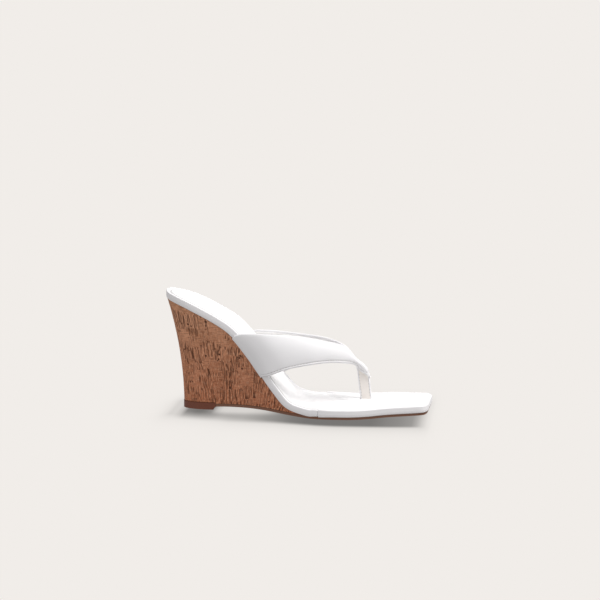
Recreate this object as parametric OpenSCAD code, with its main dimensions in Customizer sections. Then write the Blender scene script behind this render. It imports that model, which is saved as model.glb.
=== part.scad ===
// Thong sandal on a cork-covered wedge heel, right foot.
// Frame: +X towards the toe, +Y towards the inner (big toe) side, +Z up.
// The origin is the centre of the heel top piece's ground face.

/* [Footbed] */
// Length of the footbed seen from above, from the back of the heel to the toe
footbed_l = 217; // [200:1:232]
// Width across the ball of the foot
ball_w = 75; // [70:1:82]
// Height of the wedge at the back of the heel
heel_h = 91.6; // [84:0.1:98]
// Thickness of the footbed at its edge
bed_t = 5.6; // [5.4:0.1:6.5]
// Thickness of the leather wrapped round the edge
wrap_t = 1; // [0.8:0.1:1.2]

/* [Soles] */
// Thickness of the outsole
sole_t = 2.1; // [1.8:0.1:3]
// Thickness of the heel top piece
top_piece_t = 5.6; // [5:0.1:7]
// Thickness of the cork sheet round the wedge
cork_t = 1.2; // [1:0.1:1.5]

/* [Straps] */
// Thickness of the straps' outer leather
outer_t = 0.9; // [0.8:0.1:1]
// Thickness of the straps' foam padding
padding_t = 1.2; // [0.8:0.1:1.3]
// Thickness of the straps' lining
lining_t = 0.7; // [0.6:0.1:0.8]
// How far the straps bow outwards between their edges
strap_bow = 2.2; // [1:0.1:3]
// Thickness of the toe post, from one toe to the next
post_t = 3; // [2.6:0.1:3.2]

/* [Hidden] */
$fn = 32;

LATERAL = -1;   // outer side of the foot, towards -Y
MEDIAL = 1;     // inner side of the foot, towards +Y
gap = 0.05;     // clearance left for glue between pieces
far = 300;      // longer than the whole sandal

// The knots below are drawn for these base sizes, and follow the driving dimensions from there.
len_k = footbed_l / 217;
wid_k = ball_w / 75;
hgt_k = heel_h / 91.6;

heel_back = -27.5 * len_k;
wedge_tip = 86 * len_k;      // where the wedge runs out under the ball
wrap_seam = 101 * len_k;     // where the rear and front edge wraps meet
top_piece_end = 14 * len_k;  // front of the top piece, where the outsole begins
margin_w = 9;                // width of the wrap glued under the footbed

// Heights above the feather line, where the footbed meets the wedge and the outsole.
margin_top = 0.9;
insole_top = 2.3;
shank_top = 3.6;
sock_bottom = bed_t - 0.8;

tail_ply = 0.4;              // a strap ply is thinned to this where it tucks under the footbed
tail_t = 2 * tail_ply;
tail_w = 13;                 // how far a strap's tail reaches under the footbed

// --- Curves -------------------------------------------------------------------------------

function cr(a, b, c, d, t) =
    0.5 * (2 * b + (c - a) * t + (2 * a - 5 * b + 4 * c - d) * t * t
    + (3 * b - a - 3 * c + d) * t * t * t);

// Smooth open curve through knots k, with n steps between two knots.
function smooth(k, n) = let (last = len(k) - 1) concat(
    [for (i = [0:last - 1], s = [0:n - 1])
        cr(k[max(i - 1, 0)], k[i], k[i + 1], k[min(i + 2, last)], s / n)],
    [k[last]]
);

// Smooth closed curve through knots k.
function smooth_loop(k, n) = let (c = len(k))
    [for (i = [0:c - 1], s = [0:n - 1])
        cr(k[(i + c - 1) % c], k[i], k[(i + 1) % c], k[(i + 2) % c], s / n)];

function reverse(list) = [for (i = [len(list) - 1:-1:0]) list[i]];
function flatten(grid) = [for (row = grid) each row];
function mix(a, b, t) = a + (b - a) * t;
function unit(v) = v / max(norm(v), 0.000001);

// Curve c moved h to its left, point by point.
function raised(c, h) = let (last = len(c) - 1)
    [for (i = [0:last]) let (d = unit(c[min(i + 1, last)] - c[max(i - 1, 0)]))
        c[i] + h * [-d.y, d.x]];

// Closed counter-clockwise loop c moved inwards by d, point by point.
function inset(c, d) = let (n = len(c))
    [for (i = [0:n - 1]) let (t = unit(c[(i + 1) % n] - c[(i + n - 1) % n]))
        c[i] + d * [-t.y, t.x]];

// --- Outline and profile of the footbed ------------------------------------------------------

outline_knots = [
    [-27.5, 0], [-23, -15], [-7.5, -24.4], [17.5, -26.8], [47.5, -29.8], [77.5, -37.3],
    [104.5, -42.7], [127.5, -42.1], [150.5, -37.6], [173, -32.2], [184, -28.2], [187.4, -20.5],
    [188.2, -6], [188.8, 8.5], [188.7, 18.3], [184.8, 24.9], [172.5, 27.3], [150.5, 30.4],
    [122.5, 32.4], [97.5, 32.5], [72.5, 29.9], [47.5, 25.8], [17.5, 26.4], [-7.5, 24.7],
    [-23, 15.2]
];
outline = smooth_loop([for (k = outline_knots) [k.x * len_k, k.y * wid_k]], 5);

// Edge of the outline at x, on one side.
side_x_max = 170 * len_k;
lateral_edge = [for (p = outline) if (p.y < 0 && p.x < side_x_max) p];
medial_edge = reverse([for (p = outline) if (p.y > 0 && p.x < side_x_max) p]);
function edge_y(side, x) = lookup(x, side == LATERAL ? lateral_edge : medial_edge);

// Feather line, heel to toe: its rise as a share of the heel height, then the toe spring.
rise_knots = [
    [-36, 1.035], [-27.5, 1], [-7.5, 0.92], [16.5, 0.784], [29.5, 0.679], [42.5, 0.508],
    [52.5, 0.352], [62.5, 0.202], [74.5, 0.06], [90.5, 0.002]
];
spring_knots = [
    [99, 0], [107, 0], [117, 0], [127, 0], [141, 0.55], [158, 1.8], [189.5, 2.6], [196, 2.7]
];
feather = smooth(concat(
    [for (k = rise_knots) [k.x * len_k, sole_t + k.y * (heel_h - sole_t)]],
    [for (k = spring_knots) [k.x * len_k, sole_t + k.y]]
), 6);

// Underside of the outsole: the arch under the wedge, the flat tread, then the toe spring.
arch_knots = [
    [4, 1.6], [14, 2.4], [29.5, 3.4], [44, 3.7], [58, 3.1], [70.5, 1.9], [80, 1], [90.5, 0.25]
];
tread = smooth([for (k = concat(arch_knots, spring_knots)) [k.x * len_k, k.y]], 6);

function feather_z(x) = lookup(x, feather);
function tread_z(x) = lookup(x, tread);
function sole_top_z(x) = min(tread_z(x) + sole_t, feather_z(x));
function wedge_floor_z(x) = x < top_piece_end ? top_piece_t : sole_top_z(x);
function slope_at(x) = atan2(feather_z(x - 1) - feather_z(x + 1), 2);

module plan(inset_by) {
    offset(delta = -inset_by)
        polygon(outline);
}

// Sheet that follows the feather line, between heights low and high above it.
module band(low, high) {
    rotate([90, 0, 0])
        linear_extrude(far, center = true)
            polygon(concat(raised(feather, low), reverse(raised(feather, high))));
}

// Footbed layer between two heights, its edge set in from the outline.
module layer(low, high, inset_by) {
    intersection() {
        band(low, high);
        linear_extrude(far)
            plan(inset_by);
    }
}

// Everything between two x positions.
module between(x_low, x_high) {
    translate([x_low, -far / 2, -far / 2])
        cube([x_high - x_low, far, far]);
}

// Places children on the feather line, square to it.
module on_bed(x, y, height = 0) {
    translate([x, y, feather_z(x)])
        rotate([0, slope_at(x), 0])
            translate([0, 0, height])
                children();
}

// Closed solid between two grids of points with the same rows and columns.
module slab(face, back, flip = false) {
    rows = len(face);
    cols = len(face[0]);
    all = rows * cols;
    function at(r, c) = r * cols + c;
    skin = [for (r = [0:rows - 2], c = [0:cols - 2])
        each [[at(r, c), at(r + 1, c), at(r + 1, c + 1)], [at(r, c), at(r + 1, c + 1), at(r, c + 1)]]];
    rim = concat(
        [for (c = [0:cols - 1]) at(0, c)],
        [for (r = [1:rows - 1]) at(r, cols - 1)],
        [for (c = [cols - 2:-1:0]) at(rows - 1, c)],
        [for (r = [rows - 2:-1:1]) at(r, 0)]
    );
    n = len(rim);
    edges = [for (i = [0:n - 1]) let (a = rim[i], b = rim[(i + 1) % n])
        each [[a, b, b + all], [a, b + all, a + all]]];
    under = [for (f = skin) [f[0] + all, f[2] + all, f[1] + all]];
    faces = concat(skin, under, edges);
    polyhedron(
        points = concat(flatten(face), flatten(back)),
        faces = flip ? [for (f = faces) reverse(f)] : faces
    );
}

// --- Wedge ----------------------------------------------------------------------------------

// Foot of the wedge: where a point of the outline ends up at the bottom.
heel_lean = [[-27.5, -14.4], [30, 30], [300, 300]];
waist = [[-27.5, 0.53], [14, 0.53], [30, 0.65], [44, 0.79], [58, 0.88], [71, 0.93], [95, 1]];
function foot(p) = [
    lookup(p.x / len_k, heel_lean) * len_k,
    p.y * lookup(p.x / len_k, waist)
];
foot_outline = [for (p = outline) foot(p)];

wall_levels = 6;
wall_bow = 3 / 85;   // hollow of the wall, as a share of its height

// Point of the wedge's wall above q and below p, at level t from 0 to 1.
function wall_point(p, q, inward, t) = let (
    low = wedge_floor_z(q.x) + gap,
    high = max(feather_z(p.x) - gap, low + 0.3),
    xy = mix(q, p, t) + inward * wall_bow * (high - low) * 4 * t * (1 - t)
) [xy.x, xy.y, mix(low, high, t)];

// Wall of the wedge from the medial tip round the heel to the lateral tip, set in by d.
function wall(d) = let (
    top = inset(outline, d),
    low = inset(foot_outline, d),
    n = len(outline),
    order = concat(
        [for (i = [0:n - 1]) if (outline[i].y > 0 && outline[i].x < wedge_tip) i],
        [for (i = [0:n - 1]) if (outline[i].y <= 0 && outline[i].x < wedge_tip) i]
    )
) [for (i = order) let (inward = unit(inset(outline, 1)[i] - outline[i]))
    [for (s = [0:wall_levels]) wall_point(top[i], low[i], inward, s / wall_levels)]];

cork_inset = 0.7;

module cork_wrap() {
    color("#8f6348")
        difference() {
            slab(wall(cork_inset), wall(cork_inset + cork_t));
            strap_tails(gap);
        }
}

// Solid inside of the wedge: the wall's rows on one side, joined to those on the other.
module wedge_block(d) {
    rows = wall(d);
    half = floor(len(rows) / 2);
    face = [for (i = [0:half - 1]) rows[i]];
    back = [for (i = [0:half - 1]) rows[len(rows) - 1 - i]];
    slab(face, back);
}

// Weight-saving pocket, open at the top under the footbed.
module rounded_pocket(x_low, x_high, half_w, floor_z) {
    corner_r = 3;
    translate([x_low, -half_w, floor_z])
        linear_extrude(far)
            polygon([for (k = [0:3], a = [0:15:90]) let (
                side = [x_high - x_low, 2 * half_w],
                centre = [k == 1 || k == 2 ? corner_r : side.x - corner_r,
                          k > 1 ? corner_r : side.y - corner_r]
            ) centre + corner_r * [cos(90 * k + a), sin(90 * k + a)]]);
}

module wedge_core() {
    color("#d9c9a8")
        difference() {
            wedge_block(cork_inset + cork_t + 2 * gap);
            rounded_pocket(x_low = 17 * len_k, x_high = 38 * len_k, half_w = 11 * wid_k, floor_z = 14);
            rounded_pocket(x_low = 42 * len_k, x_high = 62 * len_k, half_w = 13 * wid_k, floor_z = 11);
            strap_tails(gap);
            seat_nails(gap);
            seat_screw(gap);
            lift_nails(gap);
        }
}

// --- Soles ----------------------------------------------------------------------------------

module top_piece() {
    rim_inset = 0.4;
    chamfer = 1.8;
    color("#5b3426")
        difference() {
            intersection() {
                linear_extrude(top_piece_t)
                    polygon(inset(foot_outline, rim_inset));
                between(-far, top_piece_end - gap);
            }
            translate([top_piece_end, 0, 0])
                rotate([0, 45, 0])
                    cube([2 * chamfer, far, 2 * chamfer / sqrt(2)], center = true);
            lift_nails(gap);
        }
}

lift_nail_r = 1.25;
lift_nail_floor = 1.8;

module lift_nails(clear = 0) {
    spots = [[-7, 0], [6, -7], [6, 7]];
    head_r = 2.6;
    head_t = 1.2;
    nail_l = 19;
    for (p = spots)
        translate([p.x * len_k, p.y * wid_k, lift_nail_floor - clear]) {
            cylinder(r = lift_nail_r + clear, h = nail_l + 2 * clear);
            cylinder(r = head_r + clear, h = head_t + 2 * clear);
        }
}

module top_piece_nails() {
    color("silver")
        lift_nails();
}

module outsole() {
    step = 3;
    start = top_piece_end + gap;
    end = (heel_back + footbed_l);
    stations = concat([for (x = [start:step:end]) x], [end]);
    edge_inset = 0.9;
    color("#634b41")
        intersection() {
            rotate([90, 0, 0])
                linear_extrude(far, center = true)
                    polygon(concat(
                        [for (x = stations) [x, tread_z(x)]],
                        [for (x = reverse(stations)) [x, sole_top_z(x) - gap]]
                    ));
            linear_extrude(far, center = true)
                offset(delta = -edge_inset)
                    polygon(foot_outline);
        }
}

// --- Footbed --------------------------------------------------------------------------------

// Leather strip folded round the footbed's edge, between two x positions.
module edge_wrap(x_low, x_high) {
    intersection() {
        difference() {
            layer(0, bed_t, 0);
            layer(margin_top, bed_t + 1, wrap_t);
            layer(-1, margin_top + 1, margin_w);
        }
        between(x_low, x_high);
    }
}

module edge_wrap_rear() {
    color("#e3e1e4")
        difference() {
            edge_wrap(-far, wrap_seam - gap);
            seat_nails(gap);
        }
}

module edge_wrap_front() {
    color("#ececee")
        difference() {
            edge_wrap(wrap_seam + gap, far);
            toe_post_slot();
        }
}

module bottom_filler() {
    color("#b79f7c")
        difference() {
            layer(gap, margin_top - gap, margin_w + gap);
            seat_nails(gap);
            seat_screw(gap);
            rivets(gap);
            post_tab(gap);
        }
}

module insole_board() {
    color("#c9b48f")
        difference() {
            layer(margin_top + gap, insole_top - gap, wrap_t + gap);
            seat_nails(gap);
            seat_screw(gap);
            rivets(gap);
            toe_post_slot();
        }
}

// Stiff board under the heel and arch, grown all round.
module shank_board_zone(grow) {
    board_inset = 5;
    board_end = 72 * len_k;
    intersection() {
        layer(insole_top, shank_top, board_inset - grow);
        between(-far, board_end + grow);
    }
}

module shank_board() {
    color("#8d6f4c")
        difference() {
            shank_board_zone(0);
            shank_bar(gap);
            seat_nails(gap);
            seat_screw(gap);
            rivets(gap);
        }
}

shank_rear = 9 * len_k;
shank_front = 68 * len_k;
shank_half_w = 6.5;

// Spring steel strip with round ends, bent to the line of the footbed.
module shank_bar(grow) {
    intersection() {
        band(insole_top - grow + gap, shank_top + grow - gap);
        linear_extrude(far) {
            translate([shank_rear, -shank_half_w - grow])
                square([shank_front - shank_rear, 2 * (shank_half_w + grow)]);
            for (x = [shank_rear, shank_front])
                translate([x, 0])
                    circle(r = shank_half_w + grow);
        }
    }
}

module steel_shank() {
    color("slategray")
        difference() {
            shank_bar(0);
            rivets(gap);
        }
}

module rivets(clear = 0) {
    body_r = 1.6;
    head_r = 3.2;
    head_t = 0.7;
    foot_z = 0.15;
    for (x = [15, 62] * len_k)
        on_bed(x, 0) {
            translate([0, 0, foot_z - clear])
                cylinder(r = body_r + clear, h = shank_top + head_t - foot_z + 2 * clear);
            for (z = [foot_z, shank_top])
                translate([0, 0, z - clear])
                    cylinder(r = head_r + clear, h = head_t + 2 * clear);
        }
}

module shank_rivets() {
    color("goldenrod")
        rivets();
}

// Fasteners driven down through the seat into the wedge.
module seat_fastener(x, y, body_r, head_r, fastener_l, clear) {
    head_t = 1;
    head_sink = 0.1;
    on_bed(x * len_k, y * wid_k, shank_top - head_sink) {
        translate([0, 0, -fastener_l - clear])
            cylinder(r = body_r + clear, h = fastener_l + clear);
        translate([0, 0, -head_t - clear])
            cylinder(r = head_r + clear, h = head_t + 2 * clear);
    }
}

module seat_nails(clear = 0) {
    for (p = [[-9, -9], [-9, 9], [8, -13], [8, 13]])
        seat_fastener(p.x, p.y, body_r = 1.1, head_r = 2.3, fastener_l = 14, clear = clear);
}

seat_screw_x = -5;

module seat_screw(clear = 0) {
    seat_fastener(seat_screw_x, 0, body_r = 2, head_r = 3.8, fastener_l = 22, clear = clear);
}

module heel_nails() {
    color("silver")
        seat_nails();
}

module heel_screw() {
    slot_l = 5;
    slot_w = 0.8;
    color("dimgray")
        difference() {
            seat_screw();
            on_bed(seat_screw_x * len_k, 0, shank_top)
                cube([slot_l, slot_w, 1], center = true);
        }
}

module footbed_foam() {
    color("#f2eec8")
        difference() {
            layer(insole_top + gap, sock_bottom - gap, wrap_t + gap);
            shank_board_zone(gap);
            shank_bar(gap);
            rivets(gap);
            toe_post_slot();
        }
}

module footbed_sock() {
    color("#fdfdfb")
        difference() {
            layer(sock_bottom, bed_t, wrap_t + gap);
            toe_post_slot();
        }
}

// --- Straps -----------------------------------------------------------------------------------

// Knots of a wing's edges, from the footbed to the hem over the toe post. The first knot of
// each edge is the point where the wing leaves the footbed: x, then the rest as x, y, z.
function wing_feet(side) = side == LATERAL ? [30.5, 54, 34.6, 60.3] : [35.5, 60, 39.6, 66.5];

function upper_knots(side) = side == LATERAL
    ? [[55.6, -30.6, 65.9], [84, -21.8, 63.3], [103.7, -11.4, 58.2], [117.8, 0.6, 52.6],
       [127.5, 1, 42.8], [135.5, 0.8, 36], [139.4, 0.1, 26.8]]
    : [[58, 26, 60.1], [82, 20.5, 58.9], [103.5, 13, 57], [117.8, 5.4, 52.7],
       [127.5, 5, 42.5], [135.5, 5.2, 35.8], [139.4, 5.9, 26.6]];

function lower_knots(side) = side == LATERAL
    ? [[75.2, -33, 37.8], [94.5, -26, 40.8], [108, -16.5, 40.9], [118.5, -7.5, 39.2],
       [125, -2, 37.3], [127.3, 0, 35.6], [128.3, 0.1, 33.6]]
    : [[80.5, 29, 34.5], [97, 23.5, 38.5], [109, 17, 40], [118.5, 11.5, 39.2],
       [125, 7.6, 37.2], [127.3, 6, 35.6], [128.3, 5.9, 33.6]];

wing_steps = 3;
bed_top = raised(feather, bed_t);
ply_gap = 0.02;
wing_t = outer_t + padding_t + lining_t + 4 * ply_gap;

// A wing is thin where it tucks under the footbed, and again at the hem, past its padding.
root_thinning = 0.5;
edge_thinning = 0.75;
hem_thinning = 0.42;
function thinning(share) = share < 0.1
    ? mix(edge_thinning, 1, share / 0.1)
    : mix(1, hem_thinning, max(0, share - 0.5) / 0.5);

// Point on the outside of a wing where it covers the footbed's edge, on curve c.
function foot_point(side, c, x, thin) =
    [x, edge_y(side, x) + side * (wing_t * thin + gap), lookup(x, c)];

function wing_edge(side, foot_x, knots) = smooth(concat(
    [foot_point(side, bed_top, foot_x * len_k, edge_thinning)],
    [for (k = knots) [k.x * len_k, k.y * wid_k, k.z * hgt_k]]
), wing_steps);

function wing_upper(side) = wing_edge(side, wing_feet(side)[2], upper_knots(side));
function wing_lower(side) = wing_edge(side, wing_feet(side)[3], lower_knots(side));

// Point of a wing's outside: row r counts from the footbed's top edge to the hem, v runs from
// the upper edge to the lower one.
function wing_point(side, upper, lower, r, v) = let (
    last = len(upper) - 1,
    along = upper[min(r + 1, last)] - upper[max(r - 1, 0)]
        + lower[min(r + 1, last)] - lower[max(r - 1, 0)],
    out = -side * unit(cross(lower[r] - upper[r], along)),
    fade = sin(180 * r / last)
) mix(upper[r], lower[r], v) + out * strap_bow * fade * 4 * v * (1 - v);

// Grid of a wing surface at a depth under its outside, for the column positions vs.
function wing_grid(side, vs, depth) = let (
    upper = wing_upper(side),
    lower = wing_lower(side),
    last = len(upper) - 1,
    dv = 0.05
) [for (r = [0:last]) [for (v = vs) let (
    a = wing_point(side, upper, lower, max(r - 1, 0), v),
    b = wing_point(side, upper, lower, min(r + 1, last), v),
    c = wing_point(side, upper, lower, r, v - dv),
    d = wing_point(side, upper, lower, r, v + dv),
    out = r == 0 ? [0, side, 0] : -side * unit(cross(d - c, b - a))
) wing_point(side, upper, lower, r, v) - out * depth * thinning(r / last)]];

// Row of points under the footbed's edge, where the wing meets its tail.
function wing_root(side, vs, depth) = let (feet = wing_feet(side) * len_k)
    [for (v = vs)
        foot_point(side, raised(feather, -tail_t), mix(feet[0], feet[1], v), root_thinning)
        - [0, side * depth * root_thinning, 0]];

module wing_sheet(side, vs, depth, thickness, rooted) {
    face = wing_grid(side, vs, depth);
    back = wing_grid(side, vs, depth + thickness);
    slab(
        rooted ? concat([wing_root(side, vs, depth)], face) : face,
        rooted ? concat([wing_root(side, vs, depth + thickness)], back) : back,
        flip = side == MEDIAL
    );
}

// Tail of a strap ply, glued under the footbed between two heights below the feather line.
module tail(side, low, high, reach) {
    feet = wing_feet(side) * len_k;
    intersection() {
        band(low, high);
        linear_extrude(far)
            difference() {
                offset(delta = reach)
                    polygon(outline);
                plan(tail_w);
            }
        translate([feet[0], side == MEDIAL ? 0 : -far, 0])
            cube([feet[1] - feet[0], far, far]);
    }
}

// Room for both straps' tails between the wedge and the footbed.
module strap_tails(clear) {
    for (side = [LATERAL, MEDIAL])
        tail_room(side, clear);
}

// Room for one side's tail, open at the edge of the footbed where the strap comes out.
module tail_room(side, clear) {
    mouth = 8;
    feet = wing_feet(side) * len_k;
    intersection() {
        band(-tail_t - 2 * clear, 1);
        difference() {
            linear_extrude(far)
                offset(delta = mouth)
                    polygon(outline);
            linear_extrude(far)
                plan(tail_w + clear);
        }
        translate([feet[0] - clear, side == MEDIAL ? 0 : -far, 0])
            cube([feet[1] - feet[0] + 2 * clear, far, far]);
    }
}

// Keeps a wing on its own side of the sandal's centre plane, and clear of the toe post.
module own_side(side) {
    difference() {
        children();
        translate([-far / 2, side == MEDIAL ? post_y - far + gap : post_y - gap, -far / 2])
            cube([2 * far, far, 2 * far]);
        post_body(post_t + 2 * gap, gap);
    }
}

// Column positions across a wing, from its upper edge to its lower one. The tape stiffens the
// folded upper edge, and the padding ends short of the stitches along the lower edge.
function columns(from, to, count) = [for (i = [0:count - 1]) mix(from, to, i / (count - 1))];
all_columns = columns(0, 1, 9);
padding_columns = columns(0.28, 0.86, 6);
tape_columns = columns(0.05, 0.23, 4);

module strap_outer(side) {
    own_side(side)
        wing_sheet(side, all_columns, 0, outer_t, true);
    tail(side, -tail_t, -tail_ply, (wing_t - 0.2) * root_thinning);
}

module strap_lining(side) {
    depth = outer_t + padding_t + 3 * ply_gap;
    own_side(side)
        wing_sheet(side, all_columns, depth, lining_t, true);
}

module strap_padding(side) {
    own_side(side)
        wing_sheet(side, padding_columns, outer_t + ply_gap, padding_t, false);
}

module strap_tape(side) {
    tape_t = 0.4;
    own_side(side)
        wing_sheet(side, tape_columns, outer_t + ply_gap, tape_t, false);
}

module strap_outer_lateral() { color("#dddbde") strap_outer(LATERAL); }
module strap_lining_lateral() { color("#f7f7f6") strap_lining(LATERAL); }
module strap_padding_lateral() { color("#f2eec8") strap_padding(LATERAL); }
module strap_tape_lateral() { color("#c8c8c4") strap_tape(LATERAL); }
module strap_outer_medial() { color("#dddbde") strap_outer(MEDIAL); }
module strap_lining_medial() { color("#f7f7f6") strap_lining(MEDIAL); }
module strap_padding_medial() { color("#f2eec8") strap_padding(MEDIAL); }
module strap_tape_medial() { color("#c8c8c4") strap_tape(MEDIAL); }

// --- Toe post -----------------------------------------------------------------------------------

post_y = 3 * wid_k;

// Side view of the toe post: its rear edge, then its front edge, which starts rounded off
// under the wings' upper edges.
post_rear = [[131.6, 1], [131.2, 8], [129.6, 20], [128.2, 33.8], [128, 36]];
post_front = [[131.5, 35.8], [135, 33], [137.3, 29.8], [138.7, 26], [139.6, 18], [140.6, 9], [141, 1]];
post_outline = [for (p = concat(smooth(post_rear, 3), smooth(post_front, 3)))
    [p.x * len_k, p.y + sole_t - 1]];

module post_body(thickness, grow) {
    translate([0, post_y, 0])
        rotate([90, 0, 0])
            linear_extrude(thickness, center = true)
                offset(delta = grow)
                    polygon(post_outline);
}

module toe_post_slot() {
    post_body(post_t + 2 * gap, gap);
}

core_t = 1;
core_inset = 1.2;

module toe_post_cover() {
    color("#e8e3dd")
        difference() {
            intersection() {
                post_body(post_t, 0);
                translate([0, 0, sole_t + margin_top + gap])
                    between(0, far);
            }
            post_body(core_t + 2 * gap, gap - core_inset);
        }
}

module toe_post_core() {
    color("#f4f4f0")
        post_body(core_t, -core_inset);
}

// Tab spread under the insole board that keeps the toe post from pulling out.
module post_tab(clear = 0) {
    tab_l = 24;
    tab_w = 16;
    intersection() {
        band(gap - clear, margin_top - gap + clear);
        translate([136 * len_k, post_y, 0])
            cube([tab_l + 2 * clear, tab_w + 2 * clear, far], center = true);
    }
}

module toe_post_anchor() {
    color("#d8d2c4")
        difference() {
            post_tab();
            post_body(core_t + 2 * gap, gap - core_inset);
        }
}

// --- Stitching ----------------------------------------------------------------------------------

thread_r = 0.28;

// One stitch lying on a surface, from a to b.
module stitch(a, b) {
    d = b - a;
    translate(a)
        rotate([0, acos(d.z / norm(d)), atan2(d.y, d.x)])
            cylinder(r = thread_r, h = norm(d), $fn = 16);
}

module wing_stitches(side) {
    v = 0.9;
    row = [for (r = wing_grid(side, [v], -thread_r - ply_gap)) r[0]];
    share = 0.7;
    for (i = [1:len(row) - 2], k = [0:2])
        let (a = mix(row[i], row[i + 1], k / 3), b = mix(row[i], row[i + 1], (k + 1) / 3))
            stitch(a, mix(a, b, share));
}

module strap_stitching() {
    color("#f5f3ef")
        for (side = [LATERAL, MEDIAL])
            wing_stitches(side);
}

module toe_post_stitching() {
    stitch_l = 1.6;
    pitch = 2.4;
    inset_by = 1.7;
    z_low = 11;
    z_high = 26;
    rear = smooth(post_rear, 3);
    front = reverse(smooth(post_front, 3));
    function x_at(edge, z) = lookup(z, [for (p = edge) [p.y, p.x * len_k]]);
    color("#dfdad5")
        for (z = [z_low:pitch:z_high], side = [LATERAL, MEDIAL], edge = [0, 1]) {
            y = post_y + side * (post_t / 2 + thread_r + ply_gap);
            x = edge == 0 ? x_at(rear, z) + inset_by : x_at(front, z) - inset_by;
            stitch([x, y, z], [x, y, z + stitch_l]);
        }
}

top_piece();
top_piece_nails();
outsole();
wedge_core();
cork_wrap();
bottom_filler();
edge_wrap_rear();
edge_wrap_front();
insole_board();
shank_board();
steel_shank();
shank_rivets();
heel_nails();
heel_screw();
footbed_foam();
footbed_sock();
strap_outer_lateral();
strap_padding_lateral();
strap_tape_lateral();
strap_lining_lateral();
strap_outer_medial();
strap_padding_medial();
strap_tape_medial();
strap_lining_medial();
toe_post_cover();
toe_post_core();
toe_post_anchor();
strap_stitching();
toe_post_stitching();
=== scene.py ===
"""Looks of the wedge sandal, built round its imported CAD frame.

Shapes are worked out in millimetres in the row frame (+X toe, +Y inner side of the foot, +Z up), on the
same knots as the CAD, and turned into metres when a mesh is made. On the strap and footbed surfaces,
"depth" is measured inwards from the outside of the leather and "height" upwards from the feather line,
where the footbed sits on the wedge.
"""

import math

import bmesh
import bpy
import numpy as np
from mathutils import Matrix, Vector


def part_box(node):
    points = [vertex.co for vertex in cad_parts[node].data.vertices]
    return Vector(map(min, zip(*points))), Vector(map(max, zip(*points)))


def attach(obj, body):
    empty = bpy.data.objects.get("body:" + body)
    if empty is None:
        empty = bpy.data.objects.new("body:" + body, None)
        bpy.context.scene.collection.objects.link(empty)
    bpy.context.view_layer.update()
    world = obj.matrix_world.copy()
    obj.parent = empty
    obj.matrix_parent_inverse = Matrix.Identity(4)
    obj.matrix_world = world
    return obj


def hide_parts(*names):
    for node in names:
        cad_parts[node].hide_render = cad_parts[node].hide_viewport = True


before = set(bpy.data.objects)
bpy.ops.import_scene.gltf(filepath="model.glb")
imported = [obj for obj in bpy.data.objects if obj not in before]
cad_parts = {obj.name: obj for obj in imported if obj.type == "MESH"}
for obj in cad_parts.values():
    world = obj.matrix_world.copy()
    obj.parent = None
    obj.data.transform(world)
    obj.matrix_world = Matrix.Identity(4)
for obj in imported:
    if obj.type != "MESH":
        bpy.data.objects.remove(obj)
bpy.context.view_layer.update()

MM = 0.001
LATERAL = -1
MEDIAL = 1


# --- Curves ---


def smooth(knots, steps, closed=False):
    """Smooth curve through knots, with so many steps from one knot to the next."""
    k = np.asarray(knots, float)
    count = len(k)
    points = []
    for i in range(count if closed else count - 1):
        near = np.arange(i - 1, i + 3)
        a, b, c, d = k[near % count if closed else np.clip(near, 0, count - 1)]
        for t in np.arange(steps) / steps:
            square = (2 * a - 5 * b + 4 * c - d) * t**2
            cube = (3 * b - a - 3 * c + d) * t**3
            points.append(0.5 * (2 * b + (c - a) * t + square + cube))
    if not closed:
        points.append(k[-1])
    return np.array(points)


def length_along(points):
    """Distance of each point of a curve from its first point."""
    steps = np.linalg.norm(np.diff(points, axis=0), axis=1)
    return np.concatenate([[0], np.cumsum(steps)])


def rows_at(at, known, rows):
    """Rows of a list read off between the places where they are known."""
    return np.stack([np.interp(at, known, column) for column in rows.T], axis=1)


def resample(points, at):
    """Points of a curve at the given distances along it."""
    return rows_at(at, length_along(points), points)


def read_off(x, knots):
    """Value at x on the straight lines between (x, value) knots."""
    return np.interp(x, *np.transpose(knots))


def unit(v):
    v = np.asarray(v, float)
    return v / np.maximum(np.linalg.norm(v, axis=-1, keepdims=True), 1e-9)


def turned_left(directions):
    """Unit directions square to flat ones, on their left."""
    d = unit(directions)
    return np.stack([-d[:, 1], d[:, 0]], axis=1)


def raised(curve, by):
    """A flat curve moved to its left, point by point, by a distance or a list of distances."""
    return curve + turned_left(np.gradient(curve, axis=0)) * np.reshape(by, (-1, 1))


def mix(a, b, t):
    return a + (b - a) * t


def step(low, high, x):
    """0 below low, 1 above high, and a soft S between them."""
    t = np.clip((x - low) / (high - low), 0, 1)
    return t * t * (3 - 2 * t)


def bump_at(x, centre, width):
    """1 at centre, falling softly to 0 about two widths away."""
    return np.exp(-(((x - centre) / width) ** 2))


# --- The sandal's lines, as in the CAD ---

OUTLINE_KNOTS = np.array([
    (-27.5, 0), (-23, -15), (-7.5, -24.4), (17.5, -26.8), (47.5, -29.8), (77.5, -37.3),
    (104.5, -42.7), (127.5, -42.1), (150.5, -37.6), (173, -32.2), (184, -28.2), (187.4, -20.5),
    (188.2, -6), (188.8, 8.5), (188.7, 18.3), (184.8, 24.9), (172.5, 27.3), (150.5, 30.4),
    (122.5, 32.4), (97.5, 32.5), (72.5, 29.9), (47.5, 25.8), (17.5, 26.4), (-7.5, 24.7),
    (-23, 15.2),
])
RISE_KNOTS = [
    (-36, 1.035), (-27.5, 1), (-7.5, 0.92), (16.5, 0.784), (29.5, 0.679), (42.5, 0.508),
    (52.5, 0.352), (62.5, 0.202), (74.5, 0.06), (90.5, 0.002),
]
SPRING_KNOTS = [
    (99, 0), (107, 0), (117, 0), (127, 0), (141, 0.55), (158, 1.8), (189.5, 2.6), (196, 2.7),
]
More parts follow.
